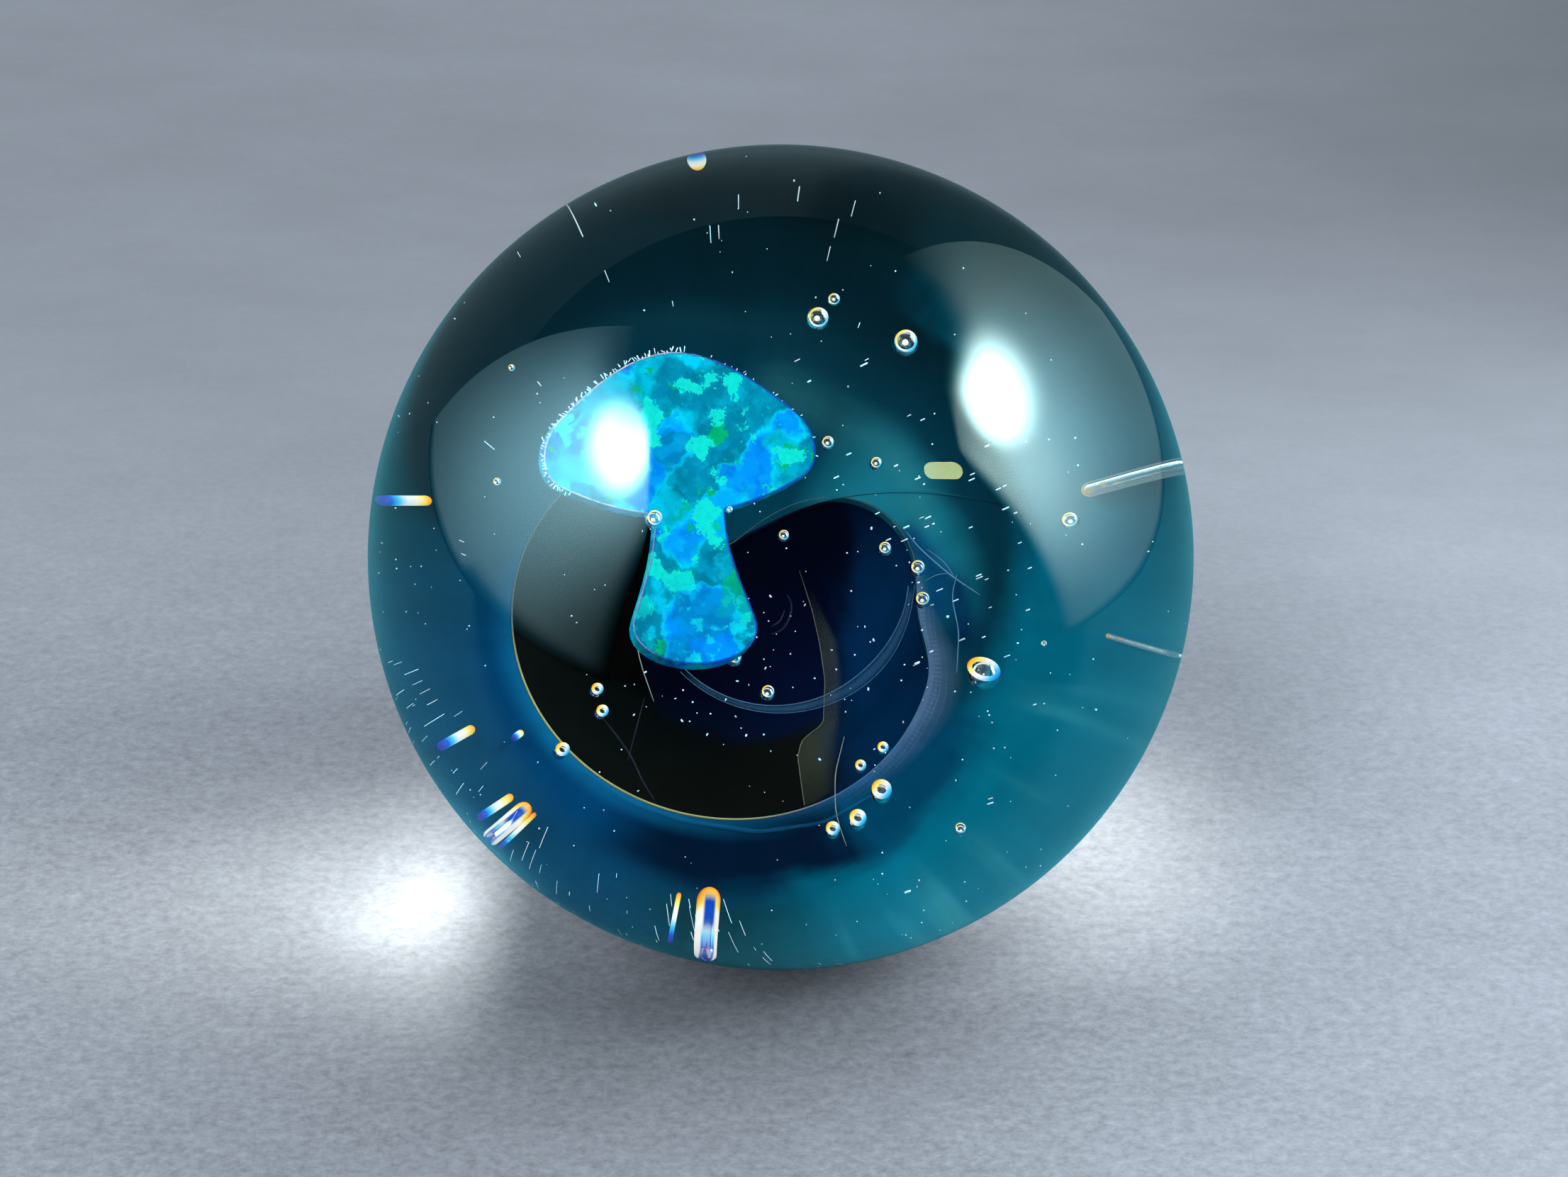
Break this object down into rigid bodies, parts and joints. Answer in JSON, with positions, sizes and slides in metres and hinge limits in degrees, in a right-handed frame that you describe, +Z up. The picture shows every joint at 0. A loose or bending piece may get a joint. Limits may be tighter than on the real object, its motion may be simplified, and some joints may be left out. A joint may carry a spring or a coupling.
{
  "type": "glass marble",
  "caption": "Clear glass art marble with a flat opal mushroom in front of a twisted, coloured glass backing round a dark well.",
  "frame": {"origin": "centre of the ball", "axes": "+Z up as the marble rests on show, -Y towards the viewer, with the clear window leaning 38 degrees forward from +Z and turned 12 degrees to the right"},
  "size_m": [0.044, 0.044, 0.044],
  "materials": {
    "clear_glass": "polished",
    "opal": "satin",
    "green_glass": "satin",
    "blue_glass": "satin",
    "teal_glass": "satin",
    "dark_glass": "satin",
    "pale_ribbon": "satin",
    "gold_ribbon": "satin"
  },
  "bodies": {
    "root": {"clear_glass": "clear_glass", "opal_mushroom": "opal", "green_swirl": "green_glass", "blue_swirl": "blue_glass", "teal_swirl": "teal_glass", "dark_core": "dark_glass", "inner_ribbon": "pale_ribbon", "outer_ribbon": "pale_ribbon", "gold_ribbon": "gold_ribbon"}
  },
  "joints": []
}
